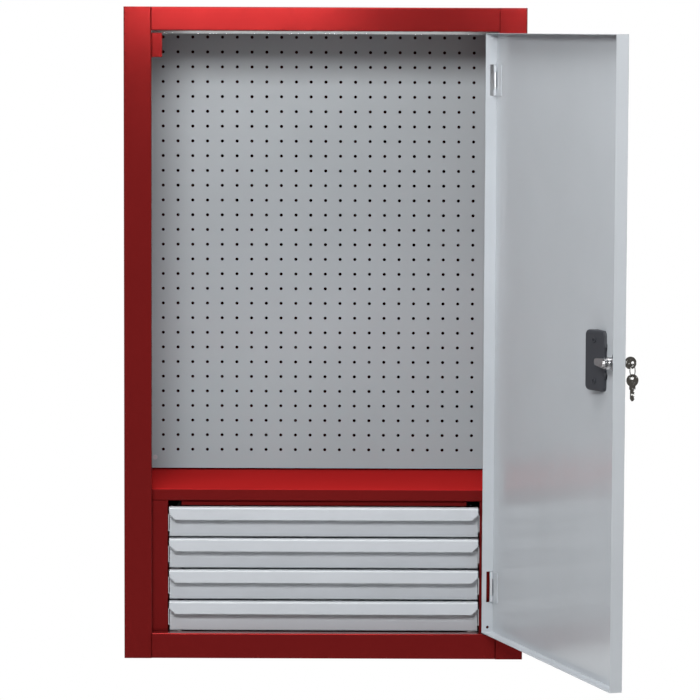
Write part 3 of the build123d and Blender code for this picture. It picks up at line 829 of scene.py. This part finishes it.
@dataclass
class CamLock:
    """Chrome cam lock with a threaded barrel."""

    axes: Axes
    barrel: float = 17.5 * MM
    thread_pitch: float = 1.25 * MM
    thread_rise: float = 0.35 * MM
    thread_start: float = 6 * MM
    thread_turns: int = 11
    thread_steps: int = 28
    thread_sides: int = 4

    @classmethod
    def from_frame(cls, frame: dict[str, Any]) -> CamLock:
        """Takes its axis from the joint that turns it."""
        joint = joint_named(frame, "lock_turn")
        out = Vector(joint["axis"])
        up = Vector((0.0, 0.0, 1.0))
        return cls(Axes(Vector(joint["pos_m"]), up.cross(out), up, out))

    def thread(self) -> None:
        """Winds the barrel's thread, a ridge along a helix."""
        pattern = Pattern("barrel_thread")
        graph = pattern.graph
        radius = pattern.number("Radius", self.barrel / 2)
        pitch = pattern.number("Pitch", self.thread_pitch)
        rise = pattern.number("Rise", self.thread_rise)
        turns = pattern.number("Turns", self.thread_turns)
        helix = graph.add("GeometryNodeCurveSpiral", {
            "Resolution": self.thread_steps, "Rotations": turns, "Start Radius": radius,
            "End Radius": radius, "Height": graph.math("MULTIPLY", pitch, turns),
        })
        ridge = graph.add("GeometryNodeCurvePrimitiveCircle", {
            "Resolution": self.thread_sides, "Radius": rise,
        })
        solid = graph.add("GeometryNodeCurveToMesh", {
            "Curve": helix.outputs[0], "Profile Curve": ridge.outputs[0], "Fill Caps": True,
        })
        pattern.close(solid.outputs[0])
        mesh = pattern.grow(CHROME)
        length = self.thread_pitch * self.thread_turns
        mesh.transform(self.axes.matrix() @ Matrix.Translation((0, 0, -self.thread_start - length)))
        place(mesh, "barrel_thread", "door", Slot.CHROME, CHROME)

    def dress(self) -> None:
        """Plates the lock's pieces."""
        coat(CHROME, "lock_body", "lock_plug")
        coat(BRIGHT_ZINC, "lock_cam", "cam_screw")
        coat(DARK_STEEL, "lock_nut")


@dataclass
class KeyRing:
    """Key in the lock, split ring and spare key."""

    lock: Axes
    hole: Vector
    spare_hole: Vector
    bow: float = 19 * MM
    hole_width: float = 5 * MM
    hole_shift: float = 3.5 * MM
    blade: float = 7 * MM
    thick: float = 2 * MM
    shoulder: float = 4 * MM
    shoulder_width: float = 9.5 * MM
    tip_depth: float = 18.5 * MM
    cut_depths: tuple[float, ...] = (1.1, 2.0, 0.8, 1.7, 1.2)
    cut_pitch: float = 3.2 * MM
    first_cut: float = 0.6
    round_over: float = 0.25 * MM
    bow_steps: int = 28
    hole_steps: int = 20
    wire: float = 1.0 * MM
    wire_sides: int = 8
    ring_turns: float = 1.9
    ring_steps: int = 32

    @classmethod
    def from_frame(cls, frame: dict[str, Any], lock: Axes) -> KeyRing:
        """Takes the keys' places from the joints that swing them."""
        hole = Vector(joint_named(frame, "ring_swing")["pos_m"])
        spare = Vector(joint_named(frame, "spare_key_swing")["pos_m"])
        return cls(lock, hole, spare)

    def outline(self, reach: float) -> list[Point]:
        """Outline of a key with its bow's middle at the origin and its blade along +x.

        Args:
            reach: distance from the bow's middle to the blade's tip.

        Returns:
            The corners, in order.
        """
        half = self.blade / 2
        bow = self.bow / 2
        neck = self.shoulder_width / 2
        start = math.asin(neck / bow)
        turn = (2 * math.pi - 2 * start) / self.bow_steps
        arc = [start + turn * step for step in range(self.bow_steps + 1)]
        points = [(bow * math.cos(angle), bow * math.sin(angle)) for angle in arc]
        collar = bow + self.shoulder
        points += [(collar, -neck), (collar, -half)]
        tip = reach - half
        flat = half / 3
        points += [(tip, -half), (reach, -flat), (reach, flat), (tip, half)]
        for number, depth in enumerate(self.cut_depths):
            middle = tip - self.cut_pitch * (number + self.first_cut)
            low = half - depth * MM
            points += [(middle + self.cut_pitch / 3, low), (middle - self.cut_pitch / 6, low)]
            points.append((middle - self.cut_pitch / 2, half))
        points += [(collar, half), (collar, neck)]
        return points

    def key(self, name: str, reach: float, axes: Axes, body: str, node: str) -> None:
        """Cuts one key from flat stock and hangs it on its body.

        Args:
            name: the piece's name.
            reach: distance from the bow's middle to the blade's tip.
            axes: where it is; its blade runs along right and its flat side faces out.
            body: the body that carries it.
            node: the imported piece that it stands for.
        """
        curve = bpy.data.curves.new(name, "CURVE")
        curve.dimensions = "2D"
        curve.fill_mode = "BOTH"
        curve.extrude = self.thick / 2 - self.round_over
        curve.bevel_depth = self.round_over
        curve.offset = -self.round_over
        curve.bevel_resolution = 1
        hole = self.hole_width / 2
        circle = [2 * math.pi * step / self.hole_steps for step in range(self.hole_steps)]
        ring = [(hole * math.cos(a) - self.hole_shift, hole * math.sin(a)) for a in circle]
        for points in (self.outline(reach), ring):
            spline = curve.splines.new("POLY")
            spline.points.add(len(points) - 1)
            for point, (x, y) in zip(spline.points, points):
                point.co = (x, y, 0.0, 1.0)
            spline.use_cyclic_u = True
        source = bpy.data.objects.new(name, curve)
        bpy.context.scene.collection.objects.link(source)
        mesh = plain_mesh(source)
        mesh.transform(axes.matrix())
        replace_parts(place(mesh, name, body, Slot.NICKEL, NICKEL), node)

    def split_ring(self) -> None:
        """Winds the split ring, two turns of flat wire."""
        low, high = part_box("key_ring")
        radius = (high.z - low.z) / 2 - self.wire / 2
        pattern = Pattern("split_ring")
        graph = pattern.graph
        coil = graph.add("GeometryNodeCurveSpiral", {
            "Resolution": self.ring_steps, "Rotations": pattern.number("Turns", self.ring_turns),
            "Start Radius": pattern.number("Radius", radius), "End Radius": radius,
            "Height": pattern.number("Wire", self.wire),
        })
        section = graph.add("GeometryNodeCurvePrimitiveCircle", {
            "Resolution": self.wire_sides, "Radius": self.wire / 2,
        })
        solid = graph.add("GeometryNodeCurveToMesh", {
            "Curve": coil.outputs[0], "Profile Curve": section.outputs[0], "Fill Caps": True,
        })
        pattern.close(solid.outputs[0])
        mesh = pattern.grow(NICKEL)
        middle = (low + high) / 2
        ring = Axes(middle, self.lock.right, self.lock.up, self.lock.out)
        mesh.transform(ring.matrix() @ Matrix.Translation((0, 0, -self.wire / 2)))
        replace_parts(place(mesh, "split_ring", "key_ring", Slot.NICKEL, NICKEL), "key_ring")

    def build(self) -> None:
        """Makes both keys and the ring."""
        low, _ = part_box("spare_key")
        down = Vector((0.0, 0.0, -1.0))
        bow = self.hole - self.hole_shift * self.lock.out
        inward = -self.lock.out
        tip = (self.lock.origin - bow).xy.length + self.tip_depth
        in_lock = Axes(bow, inward, self.lock.up, inward.cross(self.lock.up))
        self.key("key_in_lock", tip, in_lock, "key", "door_key")
        spare_bow = self.spare_hole + self.hole_shift * down
        hanging = Axes(spare_bow, down, self.lock.out, down.cross(self.lock.out))
        self.key("hanging_key", spare_bow.z - low.z, hanging, "spare_key", "spare_key")
        self.split_ring()


class Reach(Enum):
    """What a softbox shows up on."""

    ALL = "all"
    GLOSS = "gloss"
    MATT = "matt"


@dataclass(frozen=True)
class Lamp:
    """A softbox."""

    name: str
    at: tuple[float, float, float]
    aim: tuple[float, float, float]
    width: float
    height: float
    watts: float
    reach: Reach = Reach.ALL

    def build(self) -> None:
        """Hangs the softbox and turns it to what it lights."""
        light = bpy.data.lights.new(self.name, "AREA")
        light.shape = "RECTANGLE"
        light.size = self.width
        light.size_y = self.height
        light.energy = self.watts
        lamp = bpy.data.objects.new(self.name, light)
        lamp.visible_diffuse = self.reach is not Reach.GLOSS
        lamp.visible_glossy = self.reach is not Reach.MATT
        lamp.location = self.at
        facing = Vector(self.aim) - Vector(self.at)
        lamp.rotation_euler = facing.to_track_quat("-Z", "Y").to_euler()
        bpy.context.scene.collection.objects.link(lamp)


@dataclass
class Studio:
    """Camera, softboxes, white surroundings and a pale floor well below the hung cabinet."""

    camera_at: tuple[float, float, float] = (0.0245, -6.0698, 0.4961)
    yaw: float = -0.17
    pitch: float = -5.16
    roll: float = -0.24
    lens: float = 183.1
    floor_level: float = -1.43
    floor_reach: float = 4.0
    floor_fade: float = 0.5
    floor_steps: int = 64
    floor_shade: float = 0.9
    floor_glow: float = 0.55
    sky_light: float = 0.06
    lamps: tuple[Lamp, ...] = (
        Lamp("key_softbox", (-0.3, -3.0, 1.12), (0.0, -0.2, 0.05), 1.0, 0.5, 59.0),
        Lamp("strip_softbox", (-0.23, -3.0, 0.56), (-0.1, -0.32, 0.5), 0.56, 0.06, 3.75, Reach.GLOSS),
        Lamp("post_softbox", (0.49, -3.0, 0.6), (0.3, -0.32, 0.5), 0.08, 0.06, 1.15, Reach.GLOSS),
        Lamp("right_softbox", (3.2, -4.8, 1.6), (0.3, -0.4, 0.0), 2.0, 2.0, 30.0),
        Lamp("top_softbox", (-0.2, -1.0, 2.1), (0.0, -0.25, -0.2), 1.2, 1.2, 40.0),
        Lamp("back_softbox", (-2.4, 3.0, -0.35), (-0.1, 0.0, 0.0), 2.0, 2.0, 80.0, Reach.MATT),
        Lamp("side_softbox", (3.2, 1.2, 0.4), (0.3, -0.2, 0.0), 2.0, 2.0, 70.0, Reach.MATT),
    )

    def camera(self) -> None:
        """Sets the camera at the fitted place and angles."""
        data = bpy.data.cameras.new("camera")
        data.lens = self.lens
        camera = bpy.data.objects.new("camera", data)
        level = Matrix.Rotation(math.radians(90), 4, "X")
        turn = Matrix.Rotation(math.radians(self.yaw), 4, "Z")
        nod = Matrix.Rotation(math.radians(self.pitch), 4, "X")
        tip = Matrix.Rotation(math.radians(self.roll), 4, "Y")
        camera.matrix_world = Matrix.Translation(self.camera_at) @ turn @ nod @ tip @ level
        bpy.context.scene.collection.objects.link(camera)
        bpy.context.scene.camera = camera

    @staticmethod
    def seen(graph: Graph) -> bpy.types.NodeSocket:
        """One where the camera, a reflection or a clear piece looks straight at the surroundings."""
        path = graph.add("ShaderNodeLightPath").outputs
        direct = graph.math("MAXIMUM", path["Is Camera Ray"], path["Is Glossy Ray"])
        return graph.math("MAXIMUM", direct, path["Is Transmission Ray"])

    def sky(self) -> None:
        """White to look at, softer as a light."""
        world = bpy.data.worlds.new("surroundings")
        bpy.context.scene.world = world
        world.use_nodes = True
        graph = Graph(world.node_tree)
        light = graph.add("ShaderNodeBackground", {"Color": (1, 1, 1, 1), "Strength": self.sky_light})
        white = graph.add("ShaderNodeBackground", {"Color": (1, 1, 1, 1), "Strength": 1.0})
        mix = graph.add("ShaderNodeMixShader", {
            0: self.seen(graph), 1: light.outputs[0], 2: white.outputs[0],
        })
        graph.add("ShaderNodeOutputWorld", {"Surface": mix.outputs[0]})

    def floor(self) -> None:
        """Pale round floor that keeps the shadow and fades into the white surroundings."""
        reach = self.floor_reach
        turns = [2 * math.pi * step / self.floor_steps for step in range(self.floor_steps)]
        rim = [(reach * math.cos(a), reach * math.sin(a), self.floor_level) for a in turns]
        mesh = bpy.data.meshes.new("floor")
        mesh.from_pydata(rim, [], [tuple(range(self.floor_steps))])
        material = bpy.data.materials.new("pale_floor")
        material.use_nodes = True
        graph = Graph(material.node_tree)
        seen = self.seen(graph)
        shade = self.floor_shade
        matt = graph.add("ShaderNodeBsdfDiffuse", {"Color": (shade, shade, shade, 1)})
        strength = graph.math("MULTIPLY", seen, self.floor_glow)
        glow = graph.add("ShaderNodeEmission", {"Color": (1, 1, 1, 1), "Strength": strength})
        lit = graph.add("ShaderNodeAddShader", {0: matt.outputs[0], 1: glow.outputs[0]})
        white = graph.add("ShaderNodeEmission", {"Color": (1, 1, 1, 1), "Strength": 1.0})
        at = graph.add("ShaderNodeTexCoord").outputs["Object"]
        far = graph.add("ShaderNodeVectorMath", {0: at}, operation="LENGTH").outputs["Value"]
        inputs = {"Value": far, "From Min": self.floor_fade * reach, "From Max": reach}
        fade = graph.add("ShaderNodeMapRange", inputs, interpolation_type="SMOOTHSTEP").outputs[0]
        share = graph.math("MULTIPLY", fade, seen)
        both = graph.add("ShaderNodeMixShader", {0: share, 1: lit.outputs[0], 2: white.outputs[0]})
        graph.add("ShaderNodeOutputMaterial", {"Surface": both.outputs[0]})
        mesh.materials.append(material)
        floor = bpy.data.objects.new("floor", mesh)
        bpy.context.scene.collection.objects.link(floor)

    def build(self) -> None:
        """Makes the camera, the lamps, the surroundings and the floor."""
        bpy.context.scene.view_settings.view_transform = "Standard"
        self.camera()
        self.sky()
        self.floor()
        for lamp in self.lamps:
            lamp.build()


def main() -> None:
    """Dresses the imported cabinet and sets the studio."""
    logging.basicConfig(level=logging.INFO, format="%(message)s")
    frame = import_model()
    lock = CamLock.from_frame(frame)
    carcass = Carcass.from_frame()
    panel = ToolPanel.from_frame()
    door = Door.from_frame(frame)
    for part in (carcass, panel, DrawerSet(), door, lock):
        part.dress()
    carcass.build()
    panel.build()
    door.pull()
    lock.thread()
    KeyRing.from_frame(frame, lock.axes).build()
    Studio().build()


if __name__ == "__main__":
    main()
